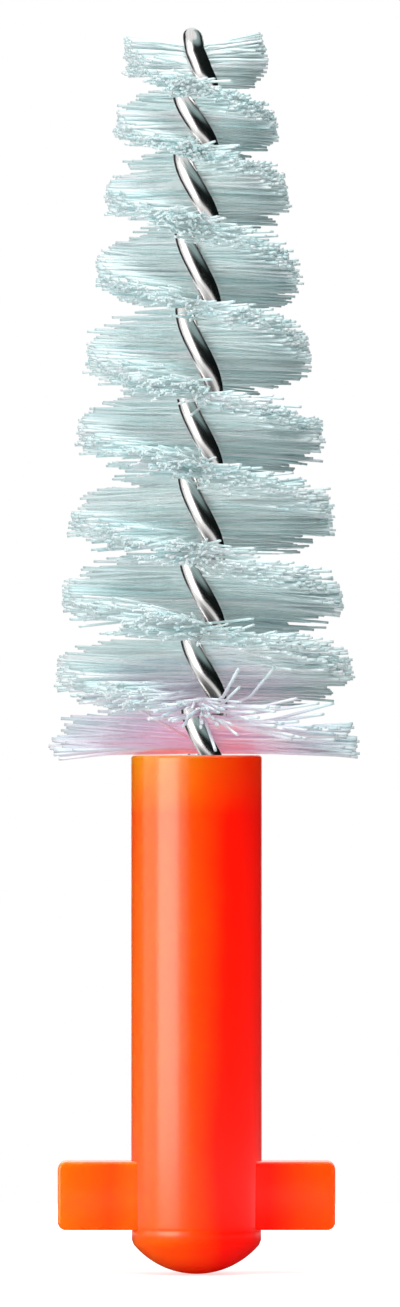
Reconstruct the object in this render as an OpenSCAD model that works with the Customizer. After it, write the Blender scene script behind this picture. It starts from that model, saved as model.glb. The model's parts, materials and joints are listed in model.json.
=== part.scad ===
// Interdental brush head: a moulded click-in stub, one twisted hairpin wire and the
// bristles that the wire's two legs hold between them.
// +Z runs along the brush towards its tip, +X along the wings, and the front is -Y.
// The origin is on the stub's axis, level with the wings' upper faces.

/* [Stub] */
// Diameter of the stub that the handle's jaws grip
stub_d = 2.11; // [1.9:0.01:2.6]
// Length of the stub from the wings' upper faces to its top
stub_grip_h = 6.55; // [6:0.05:9]
// Radius that rounds the stub's upper edge
stub_edge_r = 0.06; // [0.02:0.01:0.12]
// Height of the plain band between the wings and the dome
foot_band_h = 0.21; // [0.1:0.01:0.5]
// Moulding draft of the foot: how much its radius falls from the wings' upper faces to the dome
foot_draft = 0.01; // [0.005:0.005:0.03]
// Height of the domed lower end
dome_h = 0.51; // [0.35:0.01:0.8]

/* [Wings] */
// Width across both wings
wing_span = 4.47; // [3.6:0.01:5.2]
// Height of a wing along the brush
wing_h = 1.1; // [0.8:0.05:1.6]
// Thickness of a wing from front to back
wing_t = 0.9; // [0.6:0.05:1.3]
// Radius of a wing's outer corners
wing_corner_r = 0.13; // [0.05:0.01:0.25]

/* [Wire] */
// Diameter of the wire
wire_d = 0.32; // [0.26:0.01:0.38]
// Length of the twisted tail inside the stub
wire_tail_h = 5; // [3.5:0.1:5.5]
// Room left all round the tail in the stub's bore
tail_clearance = 0.02; // [0.01:0.005:0.04]
// Height of the first front crossing of a leg above the stub's top
first_cross_h = 0.18; // [0.1:0.01:0.4]
// Height of a half turn next to the stub, where the twist is closer
root_turn_h = 1.19; // [1.1:0.01:1.4]
// Height of a half turn in the middle of the head
mid_turn_h = 1.32; // [1.15:0.01:1.5]
// Height of a half turn next to the tip, where the twist is closest
tip_turn_h = 1.07; // [1:0.01:1.3]
// Height that a half turn would have above the last front crossing, where the twist runs out
eye_turn_h = 3.2; // [2.4:0.1:5]
// Height of the eye's centre above the last front crossing
eye_lead_h = 0.06; // [0.02:0.01:0.15]

/* [Bristles] */
// Thickness of a filament at its tip
filament_t = 0.06; // [0.04:0.005:0.08]
// Thickness of the layer of filaments between the wire's legs
layer_t = 0.1; // [0.08:0.005:0.12]
// Room on each side of the filaments between the legs
pinch_clearance = 0.01; // [0.005:0.001:0.02]
// Width over the bristles at the stub
bristle_base_d = 5.04; // [4:0.1:6]
// Width over the bristles at the tip
bristle_tip_d = 2.26; // [1.8:0.1:3]
// How far the bristles' outline bows out halfway up, past a straight cone
bristle_crown = 0.09; // [0:0.01:0.2]
// How far the ends of the topmost filaments rise above their roots
tip_flare_h = 0.15; // [0:0.01:0.25]
// Height of the lowest filament above the stub's top
bristle_root_gap = 0.06; // [0.05:0.01:0.2]
// Filaments in a half turn, each with an end on both sides of the wire
filaments_per_turn = 22; // [16:1:24]

/* [Hidden] */
// Share of its own slice of height that a filament fills
filament_fill_share = 0.75;
// Share of its reach by which a filament may fall short
trim_scatter_share = 0.05;
// Largest turn of a filament out of its place, in degrees
splay_scatter = 2;
// Seed of the filaments' scatter
scatter_seed = 17;
// Half of the width of the slice of filaments that the legs hide, as a share of the wire's diameter
pinch_half_share = 0.36;
// How far a cut runs past the face that it opens
cut_over = 0.1;
// Angle of the viewed side, and the wire's turn over a half turn: negative is left-handed
front_angle = -90;
half_turn = -180;
// Half turns with the root's, the middle's and the tip's height
root_turns = 2;
mid_turns = 5;
tip_turns = 2;
// Sides of the wire, and its rings over a whole turn and round the eye
wire_sides = 6;
rings_per_turn = 12;
eye_rings = 8;
$fn = 96;

stub_r = stub_d / 2;
foot_h = wing_h + foot_band_h;
foot_r = stub_r - foot_draft;
dome_r = (foot_r * foot_r + dome_h * dome_h) / (2 * dome_h);
wire_r = wire_d / 2;
// A wire with flat sides gets the section area of the round one
wire_side_r = wire_r * sqrt(2 * PI / (wire_sides * sin(360 / wire_sides)));
leg_r = wire_r + layer_t / 2 + pinch_clearance;
bore_r = leg_r + wire_side_r + tail_clearance;
bore_h = wire_tail_h + wire_side_r + tail_clearance;
pinch_half_w = pinch_half_share * wire_d;
all_turns = root_turns + mid_turns + tip_turns;
tail_turns = (wire_tail_h + first_cross_h) / root_turn_h;
twist_root_top = first_cross_h + root_turns * root_turn_h;
twist_mid_top = twist_root_top + mid_turns * mid_turn_h;
twist_tip_top = twist_mid_top + tip_turns * tip_turn_h;
eye_turns = all_turns + eye_lead_h / eye_turn_h;
eye_h = twist_h(eye_turns);
filament_half_turns = filament_fill_share / filaments_per_turn / 2;
leg_rings = ceil((eye_turns + tail_turns) * rings_per_turn / 2);

// Height above the stub's top that the twist reaches a number of half turns after the first crossing
function twist_h(turns) =
    turns < root_turns ? first_cross_h + turns * root_turn_h
    : turns < root_turns + mid_turns ? twist_root_top + (turns - root_turns) * mid_turn_h
    : turns < all_turns ? twist_mid_top + (turns - root_turns - mid_turns) * tip_turn_h
    : twist_tip_top + (turns - all_turns) * eye_turn_h;

// Angle of the first leg after a number of half turns: it is in front at the first crossing
function leg_angle(turns) = front_angle + half_turn * turns;

// A point at a distance from the axis, an angle round it and a height above the stub's top
function twist_point(distance, angle, height) =
    [distance * cos(angle), distance * sin(angle), stub_grip_h + height];

function unit(v) = v / norm(v);

// The wire's middle line, up the first leg, over the eye and down the second. Each entry holds a
// point and the angle of the plane in which both legs lie there
first_leg = [for (i = [0 : leg_rings])
    let (turns = -tail_turns + (eye_turns + tail_turns) * i / leg_rings)
    [twist_point(leg_r, leg_angle(turns), twist_h(turns)), leg_angle(turns)]];
eye_bend = [for (i = [1 : eye_rings - 1])
    let (bend = 180 * i / eye_rings, rise = leg_r * sin(bend))
    let (angle = leg_angle(eye_turns + rise / eye_turn_h))
    [twist_point(leg_r * cos(bend), angle, eye_h + rise), angle]];
second_leg = [for (i = [leg_rings : -1 : 0])
    let (turns = -tail_turns + (eye_turns + tail_turns) * i / leg_rings)
    [twist_point(-leg_r, leg_angle(turns), twist_h(turns)), leg_angle(turns)]];
wire_line = concat(first_leg, eye_bend, second_leg);

// Least gap between the legs, measured on their rings and halfway between them
function with_middles(line) = [for (i = [0 : 2 * len(line) - 2])
    (line[floor(i / 2)][0] + line[ceil(i / 2)][0]) / 2];
least_leg_gap = min([for (a = with_middles(first_leg)) for (b = with_middles(second_leg)) norm(a - b)]) - wire_d;
echo(least_gap_between_the_wires_legs = least_leg_gap);

// One ring of the wire, square to its middle line, with a flat side towards the other leg
function wire_ring(i) =
    let (before = wire_line[max(i - 1, 0)][0], after = wire_line[min(i + 1, len(wire_line) - 1)][0])
    let (along = unit(after - before), plane = wire_line[i][1])
    let (inward = unit(cross(along, [-sin(plane), cos(plane), 0])), across = cross(along, inward))
    [for (k = [0 : wire_sides - 1])
        let (turn = 360 * (k + 0.5) / wire_sides)
        wire_line[i][0] + wire_side_r * (cos(turn) * inward + sin(turn) * across)];

// Two triangles that fill the corners a, b, c, d, given clockwise as seen from outside
function quad(a, b, c, d) = [[a, b, c], [a, c, d]];

module core_wire() {
    n = wire_sides;
    last = len(wire_line) - 1;
    points = [for (i = [0 : last]) each wire_ring(i)];
    sides = [for (i = [0 : last - 1]) for (k = [0 : n - 1])
        let (next = (k + 1) % n)
        each quad(i * n + next, i * n + k, (i + 1) * n + k, (i + 1) * n + next)];
    ends = [for (k = [1 : n - 2]) each [[0, k, k + 1], [last * n, last * n + k + 1, last * n + k]]];
    color("Silver")
        polyhedron(points, concat(sides, ends));
}

// Reach of the bristles from the axis at a height above the stub's top: a cone with a slight bow
function bristle_reach(height) =
    let (rise_share = height / eye_h)
    (bristle_base_d + (bristle_tip_d - bristle_base_d) * rise_share) / 2
        + bristle_crown * 4 * rise_share * (1 - rise_share);

// Corners of the filaments' slice between the legs, with its width square to the plane of the legs
function pinch_ring(turns) =
    let (angle = leg_angle(turns) - front_angle)
    let (wide = [cos(angle), sin(angle), 0], thick = [-sin(angle), cos(angle), 0])
    let (middle = [0, 0, stub_grip_h + twist_h(turns)])
    [for (corner = [[1, 1], [-1, 1], [-1, -1], [1, -1]])
        middle + corner[0] * pinch_half_w * wide + corner[1] * layer_t / 2 * thick];

// Middles of a half turn's filaments, in half turns, where they clear the stub and the eye
function filament_turns(turn) = [for (i = [0 : filaments_per_turn - 1])
    let (turns = turn - 1 / 2 + (i + 1 / 2) / filaments_per_turn, half = filament_half_turns)
    if (twist_h(turns - half) >= bristle_root_gap && twist_h(turns + half) <= eye_h) turns];

// How far a filament's ends rise above its root: only next to the eye
function flare(turns) = tip_flare_h * pow(max(0, 1 + 2 * (turns - all_turns)), 2);

// The filaments that one half turn holds. The slice between the legs has a ring at the foot and
// at the top of each filament, and there its two sides run out into the filament's four-sided
// ends, which thin from the layer's thickness to the filament's own. Each filament keeps to its
// own slice of height, so none crosses another.
module bristles_turn(turn) {
    middles = filament_turns(turn);
    count = len(middles);
    scatter = rands(0, 1, 4 * count, scatter_seed + turn);
    rings = [for (m = middles) each [pinch_ring(m - filament_half_turns), pinch_ring(m + filament_half_turns)]];
    // Corners of a filament's root on one side, in the order that faces outwards
    roots = [for (i = [0 : count - 1]) for (side = [0, 1])
        side == 0 ? [8 * i, 8 * i + 3, 8 * i + 7, 8 * i + 4] : [8 * i + 2, 8 * i + 1, 8 * i + 5, 8 * i + 6]];
    ring_points = [for (ring = rings) each ring];
    tip_points = [for (i = [0 : count - 1]) for (side = [0, 1])
        let (splay = splay_scatter * (2 * scatter[4 * i + side] - 1))
        let (angle = leg_angle(middles[i]) - front_angle + 180 * side + splay)
        let (reach = bristle_reach(twist_h(middles[i])) * (1 - trim_scatter_share * scatter[4 * i + 2 + side]))
        let (root_angle = leg_angle(middles[i]) - front_angle)
        let (thinning = (layer_t - filament_t) / 2 * [-sin(root_angle), cos(root_angle), 0])
        for (corner = roots[2 * i + side])
            ring_points[corner] + (reach - pinch_half_w) * [cos(angle), sin(angle), 0]
                + [0, 0, flare(middles[i])] + (corner % 4 < 2 ? -1 : 1) * thinning];
    first_tip = len(ring_points);
    filament_walls = [for (r = [0 : len(roots) - 1]) for (k = [0 : 3])
        let (next = (k + 1) % 4)
        each quad(roots[r][k], roots[r][next], first_tip + 4 * r + next, first_tip + 4 * r + k)];
    filament_tips = [for (r = [0 : len(roots) - 1])
        let (t = first_tip + 4 * r)
        each quad(t, t + 1, t + 2, t + 3)];
    // The slice's flat sides run on behind every ring, its narrow ones only between the filaments
    slice_walls = [for (j = [0 : 2 * count - 2]) for (k = [0 : 3])
        let (next = (k + 1) % 4)
        if (k % 2 == 0 || j % 2 == 1)
            each quad(4 * j + next, 4 * j + k, 4 * j + 4 + k, 4 * j + 4 + next)];
    slice_ends = concat(quad(0, 1, 2, 3), quad(first_tip - 1, first_tip - 2, first_tip - 3, first_tip - 4));
    color("LightCyan")
        polyhedron(concat(ring_points, tip_points),
            concat(filament_walls, filament_tips, slice_walls, slice_ends));
}

// Outline of both wings as one bar with round corners, centred on the axis
module wing_outline() {
    inner_w = wing_span - 2 * wing_corner_r;
    inner_h = wing_h - 2 * wing_corner_r;
    square([inner_w, wing_h], center = true);
    square([wing_span, inner_h], center = true);
    for (x = [-inner_w / 2, inner_w / 2]) for (y = [-inner_h / 2, inner_h / 2])
        translate([x, y]) circle(r = wing_corner_r);
}

// Half section of the part of the stub that the jaws grip, with its round upper edge
module grip_section() {
    square([stub_r, stub_grip_h - stub_edge_r]);
    square([stub_r - stub_edge_r, stub_grip_h]);
    translate([stub_r - stub_edge_r, stub_grip_h - stub_edge_r]) circle(r = stub_edge_r);
}

module dome() {
    intersection() {
        translate([0, 0, dome_r - dome_h]) sphere(r = dome_r);
        translate([0, 0, -dome_h]) cylinder(r = foot_r, h = dome_h);
    }
}

module stub() {
    color("OrangeRed")
        difference() {
            union() {
                rotate_extrude() grip_section();
                translate([0, 0, -foot_h]) cylinder(r1 = foot_r, r2 = stub_r, h = foot_h);
                translate([0, 0, -foot_h]) dome();
                translate([0, 0, -wing_h / 2])
                    rotate([90, 0, 0])
                        linear_extrude(height = wing_t, center = true) wing_outline();
            }
            translate([0, 0, stub_grip_h - bore_h]) cylinder(r = bore_r, h = bore_h + cut_over);
        }
}

stub();
core_wire();
bristles_turn(0);  // bristles_turn_01
bristles_turn(1);  // bristles_turn_02
bristles_turn(2);  // bristles_turn_03
bristles_turn(3);  // bristles_turn_04
bristles_turn(4);  // bristles_turn_05
bristles_turn(5);  // bristles_turn_06
bristles_turn(6);  // bristles_turn_07
bristles_turn(7);  // bristles_turn_08
bristles_turn(8);  // bristles_turn_09
bristles_turn(9);  // bristles_turn_10
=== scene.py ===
# %% [markdown]
# # An interdental brush head in a small studio
#
# The object is the click-in head of an interdental brush, 20 mm long. It has three kinds of piece:
# a moulded orange stub with two wings, one steel wire folded like a hairpin and twisted, and almost
# four thousand fine nylon filaments that the twist holds by their middles. The CAD model already
# has their true sizes and places. This lesson gives each of them its finish and its fine shape.

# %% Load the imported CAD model
import json
import math

import bpy
import numpy as np
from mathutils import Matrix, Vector


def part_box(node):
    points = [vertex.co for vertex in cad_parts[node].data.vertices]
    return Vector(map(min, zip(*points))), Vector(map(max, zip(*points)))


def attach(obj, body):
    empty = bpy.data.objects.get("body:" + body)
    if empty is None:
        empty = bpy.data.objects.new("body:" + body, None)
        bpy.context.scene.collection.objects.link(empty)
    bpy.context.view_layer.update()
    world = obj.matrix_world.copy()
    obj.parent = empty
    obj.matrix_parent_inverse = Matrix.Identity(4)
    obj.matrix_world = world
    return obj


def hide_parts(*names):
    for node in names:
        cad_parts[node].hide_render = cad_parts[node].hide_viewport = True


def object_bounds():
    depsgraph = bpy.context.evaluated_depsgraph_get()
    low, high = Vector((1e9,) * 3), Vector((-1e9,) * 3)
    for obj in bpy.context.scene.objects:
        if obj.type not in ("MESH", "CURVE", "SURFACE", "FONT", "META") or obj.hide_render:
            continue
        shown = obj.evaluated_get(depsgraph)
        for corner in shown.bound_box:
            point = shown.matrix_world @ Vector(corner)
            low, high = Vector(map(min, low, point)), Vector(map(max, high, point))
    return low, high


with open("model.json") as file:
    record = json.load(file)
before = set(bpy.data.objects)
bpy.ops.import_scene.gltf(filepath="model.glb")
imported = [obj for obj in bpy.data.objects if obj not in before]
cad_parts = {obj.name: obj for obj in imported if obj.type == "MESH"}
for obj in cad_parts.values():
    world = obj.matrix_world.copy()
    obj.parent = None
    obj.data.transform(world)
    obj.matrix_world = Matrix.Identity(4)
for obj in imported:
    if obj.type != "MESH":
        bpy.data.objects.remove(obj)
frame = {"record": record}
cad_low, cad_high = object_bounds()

MM = 0.001
print("CAD box in mm:", [round(v / MM, 2) for v in (*cad_low, *cad_high)])

# %% [markdown]
# ## Read the sizes from the frame
#
# Everything that the CAD model states is read from it, so this file repeats as little as it can.
# The stub's radius and the length that a holder grips come from its mount. The bristle nodes meet
# at the necks between the lobes, half a turn of the wire apart, so their boxes give the pitch of
# the twist all the way up.

# %% Sizes that the CAD model gives
mounts = {m["name"]: m for m in frame["record"]["mounts"]}
STUB_R = mounts["stub"]["dims"]["r_mm"] * MM
stub_low, stub_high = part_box("stub")
wire_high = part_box("core_wire")[1]
STUB_TOP = stub_high.z
EDGE_R = STUB_TOP - mounts["stub"]["dims"]["length_mm"] * MM
WING_SPAN = stub_high.x - stub_low.x

TURNS = 10
turn_names = [f"bristles_turn_{i + 1:02d}" for i in range(TURNS)]
turn_boxes = [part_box(name) for name in turn_names]
neck_z = np.array([(turn_boxes[i][1].z + turn_boxes[i + 1][0].z) / 2 for i in range(TURNS - 1)])
neck_turns = np.arange(TURNS - 1) + 0.5
print("necks between the lobes in mm:", np.round(neck_z / MM, 2))

# %% [markdown]
# ## The law of the twist
#
# The wire and the filaments follow one law: how many half turns the wire has made at a height. A
# formula could give it, but the real twist is closer near the stub and near the tip, so a table of
# half turns and heights with straight lines between them is simpler and truer. The photographed
# head also leans a little against its stub. That is a sideways shift of the finished points, and it
# leaves the twist as it is.

# %% Half turns and heights
# The wire and the half circle of its eye
WIRE_R = 0.158 * MM
PINCH_GAP = 0.124 * MM
LEG_R = WIRE_R + PINCH_GAP / 2
TAIL_H = 5.0 * MM
EYE_RISE = wire_high.z - WIRE_R - LEG_R

# The twist's ends: the tail inside the stub, and the top, where it runs out below the eye. The last
# neck sits NECK_DROP lower than in the CAD model. Above it the twist goes on by LAST_TURNS over
# LAST_RISE, slows down to the last crossing at the eye's foot, and nearly stops in the eye
TAIL_TURNS = 6
EYE_PITCH = 12 * MM
NECK_DROP = 0.05 * MM
LAST_TURNS = 0.3
LAST_RISE = 0.29 * MM
root_pitch, tip_pitch = neck_z[1] - neck_z[0], neck_z[-1] - neck_z[-2]
first_crossing = neck_z[0] - root_pitch / 2
neck_z[-1] -= NECK_DROP
table_turns = np.concatenate([
    [-TAIL_TURNS], neck_turns, [neck_turns[-1] + LAST_TURNS, TURNS - 1, TURNS]])
table_z = np.concatenate([
    [first_crossing - TAIL_TURNS * root_pitch], neck_z,
    [neck_z[-1] + LAST_RISE, EYE_RISE, EYE_RISE + EYE_PITCH]])


def twist_z(turns):
    """Height of the twist after a number of half turns, counted from the first front crossing.

    It is read off the necks by straight lines, which run on to the tail and to the eye.
    """
    return np.interp(turns, table_turns, table_z)


def turns_at(z):
    """The half turns at a height: the same lines, read the other way."""
    return np.interp(z, table_z, table_turns)


def leg_angle(turns):
    """Angle of the wire's first leg: in front (-90 degrees) at turn 0, and left-handed from there."""
    return -math.pi / 2 - math.pi * np.asarray(turns, float)


print("half turns in mm:", np.round(np.diff(neck_z) / MM, 2))

# %% The lean of the head
# Sideways shift at the stub's top and at the tip, and what the eye adds to it
LEAN_ROOT, LEAN_TIP, EYE_LEAN = 0.135 * MM, -0.03 * MM, -0.05 * MM


def lean(points):
    """The points with x shifted: LEAN_ROOT at the stub's top, LEAN_TIP at the tip and a straight
    line in z between them, plus EYE_LEAN times the share of the eye's height below the point."""
    rise = (points[..., 2] - STUB_TOP) / (wire_high.z - STUB_TOP)
    eye = np.clip((points[..., 2] - EYE_RISE) / (wire_high.z - EYE_RISE), 0, 1)
    shift = LEAN_ROOT + (LEAN_TIP - LEAN_ROOT) * rise + EYE_LEAN * eye
    return points + np.stack([shift, 0 * rise, 0 * rise], -1)


head = wire_high.z - STUB_TOP
print("the head leans by", round((LEAN_ROOT - LEAN_TIP) / MM, 3), "mm over", round(head / MM, 1), "mm")

# %% [markdown]
# ## The camera
#
# The photograph is taken level, from the front and from far away, so that the brush shows no
# perspective. A long lens does the same. One scale, in photograph pixels to a millimetre, ties the
# picture to the model, and the camera backs off until its frame is as tall as the photograph.

# %% Camera at the photograph's place
PHOTO_W, PHOTO_H = 400, 1307
PX_PER_MM = 62
# The column of the stub's axis and the row of the wings' upper faces, which is height 0
AXIS_PX, SHOULDER_PX = 196.5, 1161
LENS, SENSOR = 400, 36

camera_data = bpy.data.cameras.new("camera")
camera_data.lens, camera_data.sensor_width = LENS, SENSOR
camera_data.clip_start, camera_data.clip_end = 0.01, 10
camera = bpy.data.objects.new("camera", camera_data)
bpy.context.scene.collection.objects.link(camera)
bpy.context.scene.camera = camera
distance = PHOTO_H / PX_PER_MM * MM * LENS / SENSOR
camera_x = (PHOTO_W / 2 - AXIS_PX) / PX_PER_MM * MM
camera_z = (SHOULDER_PX - PHOTO_H / 2) / PX_PER_MM * MM
camera.location = (camera_x, -distance, camera_z)
camera.rotation_euler = (math.pi / 2, 0, 0)
print("camera distance in mm:", round(distance / MM, 1))

# %% [markdown]
# ## From numpy arrays to a mesh
#
# Each piece below is a stack of rings: a grid of points with one row for each ring. Neighbouring
# rings are joined by four-sided faces, and the first and the last ring are closed by a face each.
# Many such stacks, one for each filament, can go into one mesh in a single call.

# %% Helper: stacks of rings become one closed mesh
def ring_faces(rings, sides):
    """Faces of one stack: quads between the rings, then a face on each end, all turned outwards."""
    i, k = np.meshgrid(np.arange(rings - 1), np.arange(sides), indexing="ij")
    k2 = (k + 1) % sides
    quads = np.stack([i * sides + k, i * sides + k2, (i + 1) * sides + k2, (i + 1) * sides + k], -1)
    start = np.arange(sides)[::-1]
    end = np.arange(sides) + (rings - 1) * sides
    return quads.reshape(-1, 4), start, end


def stack_mesh(name, points, attributes=None):
    """A mesh from points shaped (stacks, rings, sides, 3), with one value of each attribute a point.
    The sides of a stack are shaded smooth and its two end faces flat."""
    stacks, rings, sides, _ = points.shape
    quads, start, end = ring_faces(rings, sides)
    step = (np.arange(stacks) * rings * sides)[:, None]
    faces = (quads[None] + step[:, None]).reshape(-1, 4).tolist()
    faces += (start[None] + step).tolist() + (end[None] + step).tolist()
    mesh = bpy.data.meshes.new(name)
    mesh.from_pydata(points.reshape(-1, 3).tolist(), [], faces)
    smooth = np.ones(len(faces), bool)
    smooth[-2 * stacks:] = False
    mesh.polygons.foreach_set("use_smooth", smooth)
    for key, values in (attributes or {}).items():
        layer = mesh.attributes.new(key, "FLOAT", "POINT")
        layer.data.foreach_set("value", np.asarray(values, np.float32).reshape(-1))
    mesh.update()
    return mesh


# %% Helpers: a piece of the brush, and a tube along a line
def add_piece(name, mesh, node):
    """Puts a mesh into the scene as a piece that stands for a CAD node and rides with the brush."""
    piece = bpy.data.objects.new(name, mesh)
    bpy.context.scene.collection.objects.link(piece)
    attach(piece, "root")
    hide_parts(node)
    print(name, len(mesh.polygons), "faces")
    return piece


def sweep(line, across, radius, sides):
    """Rings round a line: each ring's centre is on the line and its plane is square to it.

    line is (..., rings, 3), across a direction that is never along the line, radius (..., rings).
    A ring's points are centre + radius * (cos a * first + sin a * second), where first is along
    crossed with across, and second is along crossed with first.
    """
    along = np.gradient(line, axis=-2)
    along /= np.linalg.norm(along, axis=-1, keepdims=True)
    first = np.cross(along, across)
    first /= np.linalg.norm(first, axis=-1, keepdims=True)
    second = np.cross(along, first)
    a = np.linspace(0, 2 * math.pi, sides, endpoint=False)[:, None]
    ring = np.cos(a) * first[..., None, :] + np.sin(a) * second[..., None, :]
    return line[..., None, :] + np.asarray(radius)[..., None, None] * ring


# %% [markdown]
# ## The stub
#
# The stub is one moulding: a round shank with a softly rounded rim, a dome below and two wings.
# The shank is a surface of revolution, so one half outline turned about the axis makes it. The
# wings are one bar through the shank. Its outline is a rectangle with round corners, drawn in a
# little towards its front and its back so that the edges catch the light. A union joins the two.

# %% Shank: half outline from the dome's pole up and over the rim to the middle of the top
STUB_SEGMENTS = 160
DOME_H = 0.51 * MM
BAND_H = 0.21 * MM
WING_H = -stub_low.z - DOME_H - BAND_H
DRAFT = 0.01 * MM
SEAM_DEPTH, SEAM_H = 0.004 * MM, 0.05 * MM
# The corner above the dome, with shares of its size: where the dome ends inside the foot's radius,
# and how far in and down its middle point is
CORNER_SOFT = 0.05 * MM
DOME_INSET, CORNER_IN, CORNER_DOWN = 0.6, 0.12, 0.45
# The smallest ring at the dome's pole, in degrees, and those of the top face, as shares of the radius
POLE_GAP = 0.8
FACE_SHARES = np.linspace(0.9, 0.02, 6)
DOME_POINTS, SIDE_POINTS, RIM_POINTS = 28, 24, 7


def arc(centre_r, centre_z, radius, start, stop, count):
    """Points (r, z) on a round stretch of the half outline, from one angle to another in degrees:
    the centre plus the radius times (cosine, sine)."""
    a = np.radians(np.linspace(start, stop, count))
    return np.stack([centre_r + radius * np.cos(a), centre_z + radius * np.sin(a)], -1)


def shank_outline():
    """(r, z) points of the half outline. The dome is the cap of a sphere: its radius is
    (r squared + h squared) / 2h for a base of radius r and a height h."""
    foot_r = STUB_R - DRAFT
    dome_r = (foot_r ** 2 + DOME_H ** 2) / (2 * DOME_H)
    reach = math.degrees(math.asin((foot_r - CORNER_SOFT * DOME_INSET) / dome_r))
    dome = arc(0, stub_low.z + dome_r, dome_r, -90 + POLE_GAP, -90 + reach, DOME_POINTS)
    foot_z = stub_low.z + DOME_H + CORNER_SOFT
    foot = np.array([
        [foot_r - CORNER_SOFT * CORNER_IN, foot_z - CORNER_SOFT * CORNER_DOWN], [foot_r, foot_z]])
    seam_z = stub_low.z + DOME_H + BAND_H
    seam = np.array([
        [foot_r, seam_z - SEAM_H / 2], [foot_r - SEAM_DEPTH, seam_z], [foot_r, seam_z + SEAM_H / 2]])
    rise = np.linspace(seam_z + SEAM_H, STUB_TOP - EDGE_R, SIDE_POINTS)
    side = np.stack([np.interp(rise, [seam_z, 0], [foot_r, STUB_R]), rise], -1)
    rim = arc(STUB_R - EDGE_R, STUB_TOP - EDGE_R, EDGE_R, 0, 90, RIM_POINTS)[1:]
    face = np.stack([STUB_R * FACE_SHARES, np.full(len(FACE_SHARES), STUB_TOP)], -1)
    return np.concatenate([dome, foot, seam, side, rim, face])


outline = shank_outline()
around = np.linspace(0, 2 * math.pi, STUB_SEGMENTS, endpoint=False)
shank_points = np.stack([
    outline[:, :1] * np.cos(around), outline[:, :1] * np.sin(around),
    np.repeat(outline[:, 1:], STUB_SEGMENTS, 1)], -1)
shank_mesh = stack_mesh("shank", shank_points[None])
print("shank in mm:", np.round(np.ptp(shank_points, axis=(0, 1)) / MM, 2))

# %% Wings: a rounded rectangle, drawn in towards both of its faces
WING_T = 0.9 * MM
CORNER_R = 0.13 * MM
FACE_R = 0.05 * MM
CORNER_POINTS = 10
EDGE_RINGS = 6


def rounded_rectangle(width, height, radius):
    """Points round a rectangle whose corners are quarter circles, anticlockwise from the right: one
    quarter circle of points, turned by 0, 90, 180 and 270 degrees about the four corners' centres."""
    a = np.radians(np.linspace(0, 90, CORNER_POINTS))
    quarter = radius * np.stack([np.cos(a), np.sin(a)], -1)
    inner = np.array([width / 2 - radius, height / 2 - radius])
    corners = []
    for n in range(4):
        c, s = round(math.cos(n * math.pi / 2)), round(math.sin(n * math.pi / 2))
        corners.append(quarter @ np.array([[c, s], [-s, c]]) + inner * [c - s, c + s])
    return np.concatenate(corners)


def wing_points():
    """Rings of the bar from back to front. A ring that lies d past the flat stretch is drawn in by
    r minus the root of (r squared minus d squared), which rounds the edge as a quarter circle."""
    flat = WING_T / 2 - FACE_R
    edge = FACE_R * np.sin(np.radians(np.linspace(0, 90, EDGE_RINGS)))
    depth = np.concatenate([-(flat + edge[::-1]), flat + edge])
    over = np.clip(np.abs(depth) - flat, 0, FACE_R)
    inset = FACE_R - np.sqrt(np.maximum(FACE_R ** 2 - over ** 2, 0))
    rings = np.stack([
        rounded_rectangle(WING_SPAN - 2 * d, WING_H - 2 * d, CORNER_R - d) for d in inset])
    y = np.broadcast_to(-depth[::-1][:, None], rings.shape[:2])
    return np.stack([rings[..., 0], y, rings[..., 1] - WING_H / 2], -1)


bar_points = wing_points()
wing_mesh = stack_mesh("wings", bar_points[None])
print("wing bar in mm:", np.round(np.ptp(bar_points, axis=(0, 1)) / MM, 2))

# %% Join the shank and the wings
SHARP_ANGLE = math.radians(32)


def joined(name, mesh, other):
    """The union of two closed meshes, as a new mesh: what lies inside either of them."""
    pair = [bpy.data.objects.new(name, m) for m in (mesh, other)]
    for part in pair:
        bpy.context.scene.collection.objects.link(part)
    union = pair[0].modifiers.new("union", "BOOLEAN")
    union.operation, union.solver, union.object = "UNION", "EXACT", pair[1]
    graph = bpy.context.evaluated_depsgraph_get()
    result = bpy.data.meshes.new_from_object(pair[0].evaluated_get(graph))
    result.name = name
    for part in pair:
        bpy.data.objects.remove(part)
    return result


stub_mesh = joined("stub_moulding", shank_mesh, wing_mesh)
stub_mesh.polygons.foreach_set("use_smooth", np.ones(len(stub_mesh.polygons), bool))
stub_mesh.set_sharp_from_angle(angle=SHARP_ANGLE)
stub = add_piece("stub_moulding", stub_mesh, "stub")
# The polished wire would mirror its red too strongly, so reflections don't see the stub
stub.visible_glossy = False

# %% [markdown]
# ## The wire
#
# One wire is folded in half and its two legs are twisted together, which leaves a small eye at the
# fold. The middle line is a flat hairpin whose every point is turned about the axis by the twist
# that its height has: up one leg, round the half circle of the eye, and down the other leg. The
# hairpin's own plane, turned along, gives each ring a steady direction, so the tube never spins.

# %% Wire: a twisted hairpin swept by a circle
WIRE_SIDES = 24
RINGS_PER_TURN = 32
EYE_RINGS = 28
tail_turns, eye_turns = turns_at(STUB_TOP - TAIL_H), turns_at(EYE_RISE)


def hairpin():
    """Signed distance from the axis and half turns along the flat hairpin, from tail to tail.

    On the legs the distance is plus or minus LEG_R. At angle b of the eye's half circle it is
    LEG_R * cos b, and the height above the legs' ends is LEG_R * sin b.
    """
    count = int((eye_turns - tail_turns) * RINGS_PER_TURN / 2)
    up = np.linspace(tail_turns, eye_turns, count)
    bend = np.linspace(0, math.pi, EYE_RINGS)[1:-1]
    over = eye_turns + LEG_R * np.sin(bend) / EYE_PITCH
    distance = np.concatenate([np.full(count, LEG_R), LEG_R * np.cos(bend), np.full(count, -LEG_R)])
    return distance, np.concatenate([up, over, up[::-1]])


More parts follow.
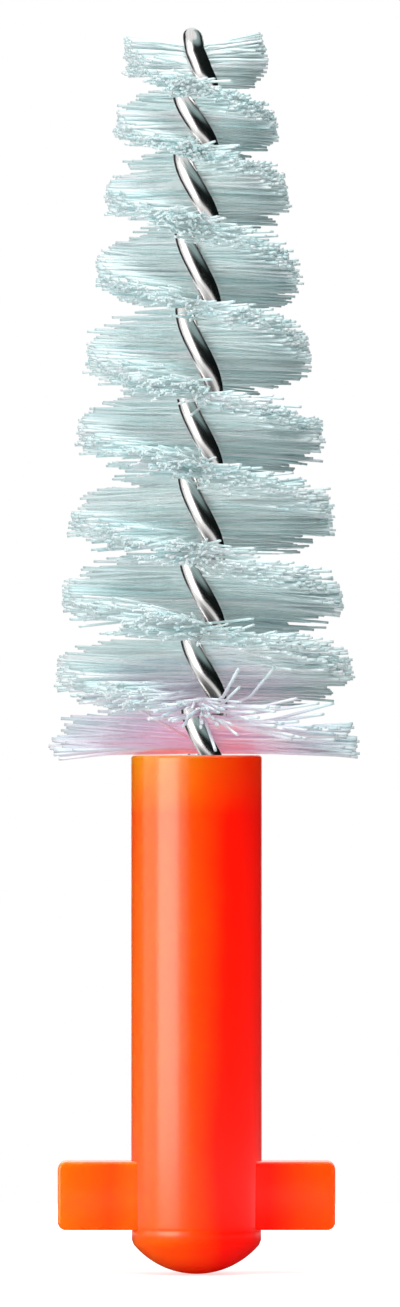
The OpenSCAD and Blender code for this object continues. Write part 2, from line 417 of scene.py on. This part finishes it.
pin_distance, pin_turns = hairpin()
pin_angle = leg_angle(pin_turns)
pin_line = np.stack([
    pin_distance * np.cos(pin_angle), pin_distance * np.sin(pin_angle), twist_z(pin_turns)], -1)
pin_across = np.stack([-np.sin(pin_angle), np.cos(pin_angle), np.zeros_like(pin_angle)], -1)
wire_points = lean(sweep(pin_line, pin_across, np.full(len(pin_line), WIRE_R), WIRE_SIDES))
pin_run = np.concatenate([[0], np.cumsum(np.linalg.norm(np.diff(pin_line, axis=0), axis=-1))])
wire_mesh = stack_mesh("twisted_wire", wire_points[None], attributes={
    "run": np.repeat(pin_run / MM, WIRE_SIDES),
    "around": np.tile(np.arange(WIRE_SIDES) / WIRE_SIDES, len(pin_line))})
wire = add_piece("twisted_wire", wire_mesh, "core_wire")
print("wire length in mm:", round(pin_run[-1] / MM, 1))
print("wire top in mm:", round(wire_points[..., 2].max() / MM, 2))

# %% [markdown]
# ## The filaments
#
# Each filament is one thin tube, held in its middle between the legs of the wire. It leaves them
# squarely on both sides, and beyond the wire it drifts a little from its own direction, up or down,
# to either side, and with a slight bow. Neighbours cling together, so they drift in small bunches
# whose ends make the ragged fingers of each lobe. Curves with a bevel could draw them, but arrays
# with one row for each filament work out a whole half turn at once and need no loop.
#
# The twist alone would give even stairs. The real ones differ from them in a few ways, and each has
# its own value below: the filaments fan out more at the necks, one half of each lingers at the
# sides, the topmost ones rise, and the lowest ones lie on the stub, which holds them up.

# %% Filaments: sizes and scatter
FILAMENT_R = 0.0225 * MM
FILAMENT_SIDES = 5
# Filaments in a half turn. The lowest half turn holds only a share of them, and they are thicker
PER_TURN = 440
LOWEST_SHARE, LOWEST_THICKNESS = 0.316, 1.2
# The lowest filament is this far above the stub, and the topmost this far above the eye's foot
ROOT_GAP, TOP_GAP = 0.032 * MM, 0.03 * MM
# Places along one half of a filament, as shares of its length
ALONG_SHARES = np.array([0.0, 0.09, 0.21, 0.55, 1.0])
# Thickness at these shares: the wire squeezes the middle, and the end is a bit thinner. From one
# filament to the next it varies too
THICK_AT, THICKNESS = [0, 0.11, 0.24, 1], [0.6, 0.85, 1, 0.97]
THICKNESS_RANGE = (0.9, 1.1)
# How the squeezed layer opens beyond the wire, and how soon
SWELL, GRIP = 3.0, 0.2 * MM
# The clipped ends' distance from the axis at the stub and at the eye, and its bow between them
BASE_REACH, TIP_REACH, REACH_BOW = 2.54 * MM, 1.14 * MM, 0.09 * MM
# What each filament and each bunch lack of that distance, at most and as shares of it
TRIM_EACH, TRIM_BUNCH = 0.05, 0.04
# Scatter as (filaments in a bunch, spread of the bunches, spread in a bunch): sideways drift and
# upward drift in degrees, the trim of bunches before it is squared, and the tone
SIDEWAYS, UPWARDS, TRIM, TONE = (5, 17, 8), (5, 3.0, 1.6), (6, 1, 0.2), (6, 0.35, 0.22)
BOW_SPREAD = 0.018
# At the necks the sideways drift grows by the first share and the upward drift shrinks by the other
NECK_SPREAD, NECK_CALM = 0.8, 0.45
# The two halves of a filament are 1 and -1. Half 1 points right on the lowest lobe, left on the next
# one, and so on. LINGER is how much each half lingers at the sides, DROOP its slope in degrees, and
# FLARE the slope that the topmost filaments add. These leave the wire higher as well, by PERK, and
# TOPMOST is the share of the last half turn in which they lie
LINGER = {1: -0.03, -1: 0.14}
DROOP = {1: -1.5, -1: 0.3}
FLARE = {1: 2.5, -1: 2}
PERK, TOPMOST = 0.1 * MM, 0.5
# Strays near the stub. Half turns up the wire, half, sideways and upward drift in degrees, and the
# bow sideways and upwards as shares of the length
STRAYS = np.array([
    [0.47, 1, 19, 0, -0.12, 0.27], [0.46, 1, 42, 0, -0.35, 0.38], [0.49, 1, 8, 0, 0, 0.14],
    [0.46, 1, 1, 0, 0, -0.27], [0.21, 1, 0, 4, 0, 0.10], [0.24, 1, 3, 2, 0, 0.04],
    [0.02, -1, 58, 33, 0, 0], [0.35, 1, 20, 5, 0, 0.06], [0.42, 1, 33, 2, -0.1, 0.1],
    [0.30, 1, 12, -4, 0, -0.05], [0.10, -1, 20, 4, 0, -0.06], [0.12, -1, -8, 5, 0, 0.02]])
HEIGHT_SEED, SHAPE_SEED = 100, 200
print("filament thickness in mm:", 2 * FILAMENT_R / MM, "with", len(STRAYS), "strays")

# %% Filaments: their reach and their bunches
def bristle_reach(z):
    """Distance of the clipped ends from the axis: a straight cone, plus REACH_BOW times 4t(1 - t)
    at the share t of its height, which is a bow that is greatest halfway up."""
    rise = (z - STUB_TOP) / (EYE_RISE - STUB_TOP)
    return BASE_REACH + (TIP_REACH - BASE_REACH) * rise + REACH_BOW * 4 * rise * (1 - rise)


def in_bunches(rng, count, size, spread, own):
    """Values that neighbours share. After each filament a new bunch starts with a chance of 1 over
    size. A bunch draws one value evenly from -spread to spread, and each filament adds a normal draw
    of its own, with the deviation own."""
    bunch = np.cumsum(rng.random(count) < 1 / size)
    return rng.uniform(-spread, spread, count + 1)[bunch] + rng.normal(0, own, count)


print("reach in mm at the stub, halfway and at the eye:", np.round(
    bristle_reach(np.linspace(STUB_TOP, EYE_RISE, 3)) / MM, 2))

# %% Filaments: one half of each
def filament_half(rng, angle, z, half, layer, perk, sideways_deg, upward_deg, extra_bow):
    """Points of one half of every filament, from the middle of the wire outwards.

    With s the distance out and w the grip, f = root(s squared + w squared) - w is zero in the wire
    and grows to a straight line outside it. The filament's place is s along its own direction, plus
    f times the tangents of its sideways and upward drift, plus a bow that grows with s squared. It
    leaves the legs by 1 - exp(-(s / w) squared): times the perk that lifts it, and times SWELL that
    opens the squeezed layer sideways.
    """
    count = len(angle)
    sideways = np.tan(np.radians(sideways_deg))
    upward = np.tan(np.radians(upward_deg))
    bow = rng.normal(0, BOW_SPREAD, (count, 2)) + extra_bow
    trim = TRIM_EACH * rng.random(count) ** 2 + TRIM_BUNCH * (in_bunches(rng, count, *TRIM) ** 2)
    reach = bristle_reach(z) * (1 - trim) * np.cos(np.arctan(sideways))
    s = reach[:, None] * ALONG_SHARES
    f = np.sqrt(s ** 2 + GRIP ** 2) - GRIP
    out = np.stack([np.cos(angle), np.sin(angle), np.zeros(count)], -1) * half
    side = np.stack([-np.sin(angle), np.cos(angle), np.zeros(count)], -1) * half
    up = np.array([0, 0, 1.0])
    bend = s ** 2 / reach[:, None]
    leaving = 1 - np.exp(-(s / GRIP) ** 2)
    opened = layer[:, None] * (1 + SWELL * leaving) * half
    return (s[..., None] * out[:, None]
            + (f * sideways[:, None] + bend * bow[:, :1] + opened)[..., None] * side[:, None]
            + (f * upward[:, None] + bend * bow[:, 1:] + perk[:, None] * leaving)[..., None] * up)


# %% Filaments: both halves, as tubes
def filament_points(z, seed, strays, thickness):
    """Ring points and attributes of the filaments at these heights on the wire, then of strays.

    A filament at n half turns points along the gap between the legs, turned back by LINGER times
    half the sine of 2 pi n, in radians: behind the twist after a crossing, and ahead of it before
    the next. How near it is to a neck is the fourth power of the sine of its angle. Its slope is at
    least minus its height above the stub's top over the stub's radius, so the lowest ones rest on
    the stub's rim.
    """
    rng = np.random.default_rng(seed)
    z = np.concatenate([z, twist_z(strays[:, 0])])
    count, first_stray = len(z), len(z) - len(strays)
    turns = turns_at(z)
    angle = leg_angle(turns) + math.pi / 2
    lag = np.degrees(np.sin(2 * math.pi * turns) / 2)
    toward_neck = np.sin(angle) ** 4
    topmost = np.clip(1 + (z - EYE_RISE) / (TOPMOST * tip_pitch), 0, 1) ** 2
    layer = rng.uniform(-1, 1, count) * (PINCH_GAP / 2 - FILAMENT_R * THICKNESS[0])
    resting = -np.degrees((z - STUB_TOP - ROOT_GAP) / STUB_R)
    halves = []
    for half in (1, -1):
        drift = in_bunches(rng, count, *SIDEWAYS) * (1 + NECK_SPREAD * toward_neck)
        drift = drift + LINGER[half] * lag
        lift = in_bunches(rng, count, *UPWARDS) * (1 - NECK_CALM * toward_neck)
        lift = np.maximum(lift + FLARE[half] * topmost + DROOP[half], resting)
        bow = np.zeros((count, 2))
        own = strays[:, 1] == half
        astray = first_stray + np.flatnonzero(own)
        drift[astray], lift[astray], bow[astray, 0], bow[astray, 1] = strays[own, 2:].T
        halves.append(filament_half(rng, angle, z, half, layer, PERK * topmost, drift, lift, bow))
    line = np.concatenate([halves[1][:, :0:-1], halves[0]], 1)
    line[..., 2] += z[:, None]
    places = np.concatenate([ALONG_SHARES[:0:-1], ALONG_SHARES])
    radius = thickness * FILAMENT_R * np.interp(places, THICK_AT, THICKNESS)
    radius = radius * rng.uniform(*THICKNESS_RANGE, (count, 1))
    rings = sweep(line, np.array([0, 0, 1.0]), radius, FILAMENT_SIDES)
    shape = rings.shape[:3]
    tone = np.clip(0.5 + in_bunches(rng, count, *TONE), 0, 1)
    return lean(rings), {
        "out": np.broadcast_to(places[None, :, None], shape),
        "own": np.broadcast_to(tone[:, None, None], shape)}


# %% One piece for each half turn
bristles = []
for i, node in enumerate(turn_names):
    low = max(twist_z(i - 0.5), STUB_TOP + ROOT_GAP)
    high = min(twist_z(i + 0.5), EYE_RISE + TOP_GAP)
    share = (high - low) / tip_pitch if i == TURNS - 1 else turns_at(high) - turns_at(low)
    count = int(round(PER_TURN * share))
    strays, thickness = STRAYS[:0], 1.0
    if i == 0:
        count = int(count * LOWEST_SHARE)
        strays, thickness = STRAYS, LOWEST_THICKNESS
    rng = np.random.default_rng(HEIGHT_SEED + i)
    heights = low + (high - low) * (np.arange(count) + rng.uniform(0, 1, count)) / count
    points, values = filament_points(heights, SHAPE_SEED + i, strays, thickness)
    name = f"filaments_turn_{i + 1:02d}"
    mesh = stack_mesh(name, points, attributes=values)
    bristles.append(add_piece(name, mesh, node))

# %% [markdown]
# ## Materials
#
# A material here is a Principled shader whose colour, roughness and bump come from procedural
# patterns in the piece's own millimetres. A few small helpers add a node, set its values and join
# its inputs, so that each material reads as a short list.

# %% Helpers for nodes
def join(owner, node, inputs):
    """Sets each named input of a node to a plain value, or joins it to an output socket."""
    for key, value in inputs.items():
        if isinstance(value, bpy.types.NodeSocket):
            owner.node_tree.links.new(value, node.inputs[key])
        else:
            node.inputs[key].default_value = value


def add_node(owner, kind, inputs=None, **settings):
    """Adds a node to a material or a world, makes its settings and joins its inputs."""
    made = owner.node_tree.nodes.new(kind)
    for key, value in settings.items():
        setattr(made, key, value)
    join(owner, made, inputs or {})
    return made


def new_material(name):
    """A node material and its Principled shader, already joined to the output."""
    material = bpy.data.materials.new(name)
    material.use_nodes = True
    return material, material.node_tree.nodes["Principled BSDF"]


def calculate(owner, operation, first, second):
    """One step of arithmetic between two values."""
    return add_node(owner, "ShaderNodeMath", {0: first, 1: second}, operation=operation).outputs[0]


def scaled(owner, value, start, stop, low, high, **settings):
    """A value from start to stop becomes one from low to high along a straight line, and stays at
    low or high outside them."""
    return add_node(owner, "ShaderNodeMapRange", {
        "Value": value, "From Min": start, "From Max": stop, "To Min": low, "To Max": high},
        **settings).outputs["Result"]


def mixed(owner, factor, first, second, blend="MIX"):
    """The first colour, blended with the second one by a factor."""
    made = add_node(owner, "ShaderNodeMix", data_type="RGBA", blend_type=blend)
    join(owner, made, {"Factor": factor, "A": first, "B": second})
    return made.outputs["Result"]


def ramp(owner, factor, stops):
    """A colour ramp through (place, colour) stops."""
    made = add_node(owner, "ShaderNodeValToRGB", {"Fac": factor})
    elements = made.color_ramp.elements
    while len(elements) < len(stops):
        elements.new(0.5)
    for element, (place, colour) in zip(elements, stops):
        element.position = place
        element.color = (*colour, 1)
    return made.outputs["Color"]


# %% Helpers for patterns
def object_place(owner):
    """A point's own place, which moves with the piece."""
    return add_node(owner, "ShaderNodeTexCoord").outputs["Object"]


def mapped(owner, vector, scale, location=(0, 0, 0)):
    """A place times the scale, plus the location."""
    return add_node(owner, "ShaderNodeMapping", {
        "Vector": vector, "Scale": scale, "Location": location}).outputs["Vector"]


def in_mm(owner, scale=(1, 1, 1)):
    """Object coordinates in millimetres, so that a pattern's scale reads as counts in a millimetre."""
    return mapped(owner, object_place(owner), [s / MM for s in scale])


def distance_of(owner, vector):
    """The length of a vector: the root of the sum of its squares."""
    return add_node(owner, "ShaderNodeVectorMath", {0: vector}, operation="LENGTH").outputs["Value"]


def attribute(owner, name):
    """A value that the mesh keeps for each of its points."""
    return add_node(owner, "ShaderNodeAttribute", attribute_name=name).outputs["Fac"]


def noise(owner, vector, scale, detail=3.0):
    """A soft random pattern from 0 to 1, with a number of features in a millimetre."""
    return add_node(owner, "ShaderNodeTexNoise", {
        "Vector": vector, "Scale": scale, "Detail": detail, "Roughness": 0.5}).outputs["Fac"]


def bumps(owner, height, strength, depth):
    """The surface's direction, tilted as if a pattern of this depth stood on it."""
    return add_node(owner, "ShaderNodeBump", {
        "Height": height, "Strength": strength, "Distance": depth}).outputs["Normal"]


# %% [markdown]
# ## The orange plastic
#
# The stub is a clear plastic with a fluorescent orange pigment. Light enters it and comes out
# nearby, and red travels furthest. Lit from the left, it runs from orange on the left to red on the
# right, and its top is more orange. Light and a plain pigment alone don't give that much, because
# fluorescence has no socket, so light and shade are painted into the pigment: its colour is a
# gradient, orange on the lit left and the lit top and red on the shaded right, and it has a painted
# red glow, though it is no lamp. A glossy coat draws the milky band, and a fine moulding grain keeps
# the gloss from looking like glass.

# %% Translucent orange plastic for the stub
# Sideways shift in mm of the pigment's gradient of painted light and shade, at the wings' upper faces
# and at the stub's top
PAINTED_SHADE_SLANT = (0.03, -0.14)
# Places in mm across and green shares of the pigment, along the stub and at its very top, and how
# far the second fades down. The green is painted light and shade: more on the lit left and at the lit
# top, less where the wings meet the shank, nearly none on the shaded right. The colour's red is 1,
# and its blue is nearly none
PIGMENT_AND_PAINTED_SHADE = [(-2.2, 0.17), (-1.35, 0.08), (-1.0, 0.15), (-0.5, 0.11), (0.0, 0.06), (0.4, 0.004),
           (1.2, 0.002), (2.1, 0.08)]
TOP_PIGMENT_AND_PAINTED_LIGHT = [(-1.1, 0.36), (-0.24, 0.26), (0.1, 0.145), (0.65, 0.045)]
TOP_PAINTED_LIGHT_FADE = 0.95
PIGMENT_BLUE = 0.0004
# Clouds in a millimetre, and how far they move the gradient, as a share of the wings' span
CLOUD_SCALE, CLOUD_SHIFT = 0.7, 0.08
# The moulding grain, drawn out along the stub: grains in a millimetre, and the roughness they give
GRAIN_STRETCH, GRAIN_SCALE, GRAIN_ROUGHNESS = (1, 1, 0.15), 9.0, (0.42, 0.52)


def pigment_and_painted_shade_ramp(owner, place, stops):
    """The pigment's colour across the stub, with light and shade painted into its green. A place of x
    mm is x / span + 1/2 on the ramp.
    """
    return ramp(owner, place, [
        (x * MM / WING_SPAN + 0.5, (1.0, green, PIGMENT_BLUE)) for x, green in stops])


def orange_plastic():
    """The gradient of painted light and shade is read at x, plus a slant that changes evenly with z,
    plus a cloudy shift. Over the top's fade distance it fades into the top's own gradient, which is
    painted lighter. The grain sets the roughness and the bump."""
    material, shader = new_material("orange_plastic")
    where = in_mm(material)
    at = add_node(material, "ShaderNodeSeparateXYZ", {"Vector": where})
    top, edge = STUB_TOP / MM, WING_SPAN / 2 / MM
    slant = scaled(material, at.outputs["Z"], 0.0, top, *PAINTED_SHADE_SLANT)
    slanted = calculate(material, "ADD", at.outputs["X"], slant)
    cloud = calculate(material, "SUBTRACT", noise(material, where, CLOUD_SCALE), 0.5)
    cloud = calculate(material, "MULTIPLY", cloud, CLOUD_SHIFT)
    place = calculate(material, "ADD", scaled(material, slanted, -edge, edge, 0.0, 1.0), cloud)
    near_top = scaled(material, at.outputs["Z"], top - TOP_PAINTED_LIGHT_FADE, top, 0.0, 1.0)
    grain = noise(material, in_mm(material, GRAIN_STRETCH), GRAIN_SCALE, 4.0)
    # The base colour carries painted light and shade: orange on the lit left and top, red on the
    # shaded right
    join(material, shader, {
        "Base Color": mixed(material, near_top, pigment_and_painted_shade_ramp(material, place, PIGMENT_AND_PAINTED_SHADE),
                            pigment_and_painted_shade_ramp(material, place, TOP_PIGMENT_AND_PAINTED_LIGHT)),
        "Subsurface Weight": 1.0,
        "Subsurface Radius": (1.0, 0.12, 0.03),
        "Subsurface Scale": 2.2 * MM,
        "IOR": 1.49,
        "Specular IOR Level": 0.7,
        "Specular Tint": (1.0, 0.4, 0.02, 1),
        "Coat Weight": 1.0,
        "Coat Roughness": 0.22,
        "Coat IOR": 1.6,
        # Painted red glow: the stub glows faintly though it is no lamp
        "Emission Color": (1.0, 0.0, 0.0, 1),
        "Emission Strength": 0.22,
        "Roughness": scaled(material, grain, 0.0, 1.0, *GRAIN_ROUGHNESS),
        "Normal": bumps(material, grain, 0.12, 0.01 * MM)})
    print("orange_plastic:", len(material.node_tree.nodes), "nodes")
    return material


stub.data.materials.clear()
stub.data.materials.append(orange_plastic())

# %% [markdown]
# ## The steel
#
# The wire is drawn through a die, which leaves it bright, with fine lines along it. A noise that is
# stretched along the wire gives such lines. It reads two attributes that the mesh keeps for each
# point, how far along the wire and how far round it the point is, so the lines follow the twist,
# which no pattern in plain coordinates would do.

# %% Drawn steel for the wire
# Lines round the wire and their changes in a millimetre along it, and the roughness they give
LINE_SCALE, LINE_ROUGHNESS = (60, 1.5, 1), (0.16, 0.28)
STEELS = [(0.3, (0.62, 0.61, 0.60)), (0.7, (0.86, 0.85, 0.84))]


def drawn_steel():
    """Noise at (share of the way round, mm along) times LINE_SCALE. It moves the colour between two
    steel greys, the roughness over its range, and a slight bump."""
    material, shader = new_material("drawn_steel")
    lines_at = add_node(material, "ShaderNodeCombineXYZ", {
        "X": attribute(material, "around"), "Y": attribute(material, "run")}).outputs["Vector"]
    lines = noise(material, mapped(material, lines_at, LINE_SCALE), 1.0, 2.0)
    join(material, shader, {
        "Metallic": 1.0,
        "Base Color": ramp(material, lines, STEELS),
        "Roughness": scaled(material, lines, 0.0, 1.0, *LINE_ROUGHNESS),
        "Normal": bumps(material, lines, 0.15, 0.004 * MM)})
    print("drawn_steel:", len(material.node_tree.nodes), "nodes")
    return material


wire.data.materials.append(drawn_steel())

# %% [markdown]
# ## The nylon
#
# The filaments are clear nylon with a touch of aqua. A glass shader on tubes as fine as these would
# be slow and noisy, and so many of them look like pale matte threads anyway, so they are plain
# surfaces. Neighbours share a tone, which draws streaks. Light and shade are painted along each
# filament: the part near the wire, where the mass would shade it, is kept lighter, and the outer
# part and the clipped end are darker. Near the stub the clear nylon is full of its red light. That
# would take light through thousands of tubes, so a pink blush round the stub's top stands for it:
# painted red light, with a faint painted pink glow.

# %% Pale nylon for the filaments
# Tone by each filament's own value, and painted shade by the share of its length: lighter near the
# wire, darker at the clipped end
TONES = [(0.0, (0.66, 0.86, 0.87)), (0.3, (0.81, 0.94, 0.94)), (0.7, (0.87, 0.965, 0.965)),
         (1.0, (0.95, 0.97, 0.99))]
PAINTED_SHADES = [(0.0, (1.0, 1.0, 1.0)), (0.4, (1.0, 1.0, 1.0)), (0.97, (0.87, 0.89, 0.9)),
          (1.0, (0.62, 0.65, 0.66))]
# The painted red light from the stub is full up to its near distance from the stub's top, and gone
# at its far one. Heights count more in that distance, by the flattening factor. Its pink goes by its
# strength, and so does a painted glow, which rises from 0 to the glow's greatest strength between
# two strengths
PAINTED_RED_LIGHT_NEAR, PAINTED_RED_LIGHT_FAR, PAINTED_RED_LIGHT = 0.4 * MM, 2.8 * MM, 0.92
PAINTED_RED_LIGHT_FLAT = 1.6
PAINTED_PINKS = [(0.3, (0.95, 0.66, 0.90)), (0.6, (1.0, 0.68, 0.90)), (0.9, (1.0, 0.58, 0.76))]
PAINTED_PINK_GLOW, PAINTED_GLOW_FROM, PAINTED_GLOW_TO = 0.1, 0.5, 0.9


def pale_nylon():
    """Tone times painted shade, mixed with pink by painted red light from the stub. That painted light
    falls along a straight line with the distance from the stub's top, where heights count more, by the
    flattening factor, and it adds a painted pink glow."""
    material, shader = new_material("pale_nylon")
    tone = ramp(material, attribute(material, "own"), TONES)
    # Painted light and shade along each filament: lighter near the wire, darker at the clipped end
    shade = ramp(material, attribute(material, "out"), PAINTED_SHADES)
    centred = mapped(material, object_place(material), (1, 1, PAINTED_RED_LIGHT_FLAT),
                     (0, 0, -PAINTED_RED_LIGHT_FLAT * STUB_TOP))
    painted_red_light_share = scaled(material, distance_of(material, centred), PAINTED_RED_LIGHT_NEAR, PAINTED_RED_LIGHT_FAR, PAINTED_RED_LIGHT, 0.0)
    painted_pink = ramp(material, painted_red_light_share, PAINTED_PINKS)
    nylon_colour = mixed(material, 1.0, tone, shade, "MULTIPLY")
    join(material, shader, {
        "Base Color": mixed(material, painted_red_light_share, nylon_colour, painted_pink),
        # Painted pink glow: the nylon near the stub glows though it is no lamp
        "Emission Color": painted_pink,
        "Emission Strength": scaled(material, painted_red_light_share, PAINTED_GLOW_FROM, PAINTED_GLOW_TO, 0.0, PAINTED_PINK_GLOW),
        "Roughness": 0.32,
        "IOR": 1.53})
    print("pale_nylon:", len(material.node_tree.nodes), "nodes")
    return material


nylon = pale_nylon()
for piece in bristles:
    piece.data.materials.append(nylon)
    # As with the stub, the wire doesn't mirror the filaments
    piece.visible_glossy = False

# %% [markdown]
# ## The studio
#
# One tall soft box stands to the left of the camera, and only reflections see it: it draws the
# bright band down the left of the stub and of each turn of the wire. A weaker one beside it lights
# the matte surfaces. Two fills, from above and below, light both sides of the level filaments and
# cast no shadows. A lamp behind and one above lift the rest. Two tall screens are nearly black in
# reflections, which gives the steel its dark edges. To matte surfaces the right one is a dim teal,
# which makes the shaded side of the nylon, and the left one is about as bright as the world. The
# floor and the world are white to look at.

# %% What sees the white surroundings
def seen_white(owner, path):
    """1 for what the camera sees, also in metal or through clear things, and 0 for the light on
    matte surfaces: the greatest of three answers of the Light Path node."""
    seen = calculate(owner, "MAXIMUM", path["Is Camera Ray"], path["Is Glossy Ray"])
    return calculate(owner, "MAXIMUM", seen, path["Is Transmission Ray"])


# %% Floor
FLOOR_GAP = 0.005 * MM
FLOOR_Z = cad_low.z - FLOOR_GAP
FLOOR_R = 30 * MM
FLOOR_SIDES = 96
# The floor's own glow under the brush as the camera sees it, how far from the brush it starts to
# rise, to the camera and in reflections, and where it has reached white
GLOW_LOW, GLOW_START, GLOW_START_GLOSSY, GLOW_FULL = 0.62, 4 * MM, 10 * MM, 20 * MM
# How pale the floor's matte part is to the camera and in reflections
MATTE, MATTE_GLOSSY = 0.6, 0.05


def floor_material():
    """A pale floor with the brush's soft shadow. Away from the brush its own glow, which only the
    camera, reflections and clear things see, rises to 1, so that it runs into the white behind.
    In reflections the floor near the brush is dark, so that it lays no haze on the stub."""
    material, shader = new_material("floor")
    material.node_tree.nodes.remove(shader)
    path = add_node(material, "ShaderNodeLightPath").outputs
    near = calculate(material, "MULTIPLY", path["Is Camera Ray"], GLOW_LOW)
    start = scaled(material, path["Is Glossy Ray"], 0.0, 1.0, GLOW_START, GLOW_START_GLOSSY)
    rise = scaled(material, distance_of(material, object_place(material)), start, GLOW_FULL, near, 1.0,
                  interpolation_type="SMOOTHSTEP")
    level = calculate(material, "MULTIPLY", seen_white(material, path), rise)
    glow = add_node(material, "ShaderNodeEmission", {"Strength": level})
    dull = scaled(material, path["Is Glossy Ray"], 0.0, 1.0, MATTE, MATTE_GLOSSY)
    matte = add_node(material, "ShaderNodeBsdfDiffuse", {"Color": dull})
    both = add_node(material, "ShaderNodeAddShader", {0: glow.outputs[0], 1: matte.outputs[0]})
    join(material, material.node_tree.nodes["Material Output"], {"Surface": both.outputs[0]})
    return material


floor_mesh = bpy.data.meshes.new("floor")
floor_angle = np.linspace(0, 2 * math.pi, FLOOR_SIDES, endpoint=False)
floor_edge = np.stack([
    FLOOR_R * np.cos(floor_angle), FLOOR_R * np.sin(floor_angle),
    np.full_like(floor_angle, FLOOR_Z)], -1)
floor_mesh.from_pydata(floor_edge.tolist(), [], [tuple(range(FLOOR_SIDES))])
floor_mesh.materials.append(floor_material())
floor = bpy.data.objects.new("floor", floor_mesh)
bpy.context.scene.collection.objects.link(floor)
print("floor at", round(FLOOR_Z / MM, 3), "mm")

# %% World: white to look at, dimmer as a light
FILL = 0.66


def studio_world():
    """A white world: strength 1 where it is seen, and FILL as a light."""
    world = bpy.data.worlds.new("studio")
    world.use_nodes = True
    path = add_node(world, "ShaderNodeLightPath").outputs
    level = scaled(world, seen_white(world, path), 0.0, 1.0, FILL, 1.0)
    join(world, world.node_tree.nodes["Background"], {"Color": (1, 1, 1, 1), "Strength": level})
    return world


bpy.context.scene.world = studio_world()
print("world as a light:", FILL)

# %% Lamps
def soft_box(name, azimuth, elevation, reach, size, level, matte=True, mirrored=True, shadow=True):
    """A rectangular lamp that faces the brush's middle from an azimuth, which is 0 in front and
    positive to the right, and an elevation, at a reach.

    At level 1 a white card that faces it renders white, which takes pi squared times the reach
    squared in watts. matte and mirrored say whether it lights matte surfaces and shows in glossy ones.
    """
    data = bpy.data.lights.new(name, "AREA")
    data.shape, data.size, data.size_y = "RECTANGLE", *size
    data.energy = level * math.pi ** 2 * reach ** 2
    data.use_shadow = shadow
    lamp = bpy.data.objects.new(name, data)
    bpy.context.scene.collection.objects.link(lamp)
    a, e = math.radians(azimuth), math.radians(elevation)
    back = Vector((math.sin(a) * math.cos(e), -math.cos(a) * math.cos(e), math.sin(e)))
    lamp.location = Vector((0, 0, camera_z)) + reach * back
    lamp.rotation_mode = "QUATERNION"
    lamp.rotation_quaternion = back.to_track_quat("Z", "Y")
    lamp.visible_diffuse, lamp.visible_glossy = matte, mirrored
    print("lamp", name, "level", level)


# Azimuth, elevation, reach, size and level
soft_box("key", -52, 0, 0.25, (0.18, 0.30), 0.9, matte=False)
soft_box("soft_key", -45, 10, 0.22, (0.36, 0.36), 0.15, mirrored=False)
soft_box("fill_high", -50, 50, 0.22, (0.3, 0.3), 0.64, mirrored=False, shadow=False)
soft_box("fill_low", -50, -50, 0.22, (0.3, 0.3), 0.64, mirrored=False, shadow=False)
soft_box("backdrop_glow", 180, 12, 0.25, (0.5, 0.3), 0.9, mirrored=False)
soft_box("top", 22, 45, 0.25, (0.2, 0.2), 0.92, mirrored=False)

# %% Two dark screens, seen by reflections and by matte surfaces only
SCREEN_REACH, SCREEN_FOOT, SCREEN_COLUMNS = 0.3, -0.22, 40
# In reflections a screen is black up to the first of these heights, and pale from the second one
PALER_FROM, PALER_TO = 0.16, 0.26
BLACK, PALER = 0.005, 0.45
TEAL = (0.7, 1.0, 1.0, 1)


def dark_screen(name, start, stop, top, dim_level):
    """An upright arc round the brush from one azimuth to another: at angle a it stands at
    (reach * sin a, -reach * cos a). It is black in reflections and dim for matte surfaces."""
    a = np.radians(np.linspace(start, stop, SCREEN_COLUMNS))
    x, y = SCREEN_REACH * np.sin(a), -SCREEN_REACH * np.cos(a)
    rows = np.stack([np.stack([x, y, np.full_like(x, z)], -1) for z in (SCREEN_FOOT, top)])
    i = np.arange(SCREEN_COLUMNS - 1)
    faces = np.stack([i, i + 1, i + 1 + SCREEN_COLUMNS, i + SCREEN_COLUMNS], -1)
    mesh = bpy.data.meshes.new(name)
    mesh.from_pydata(rows.reshape(-1, 3).tolist(), [], faces.tolist())
    material, shader = new_material(name)
    material.node_tree.nodes.remove(shader)
    path = add_node(material, "ShaderNodeLightPath").outputs
    place = add_node(material, "ShaderNodeSeparateXYZ", {"Vector": object_place(material)})
    paler = scaled(material, place.outputs["Z"], PALER_FROM, PALER_TO, BLACK, PALER)
    level = scaled(material, path["Is Glossy Ray"], 0.0, 1.0, dim_level, paler)
    dim = add_node(material, "ShaderNodeEmission", {"Color": TEAL, "Strength": level})
    join(material, material.node_tree.nodes["Material Output"], {"Surface": dim.outputs[0]})
    mesh.materials.append(material)
    screen = bpy.data.objects.new(name, mesh)
    bpy.context.scene.collection.objects.link(screen)
    screen.visible_camera = False
    print(name, "level for matte surfaces", dim_level)


dark_screen("dark_screen_right", -16, 165, 0.45, 0.16)
dark_screen("dark_screen_left", -165, -108, 0.20, FILL)

# %% View settings
bpy.context.scene.view_settings.view_transform = "Standard"
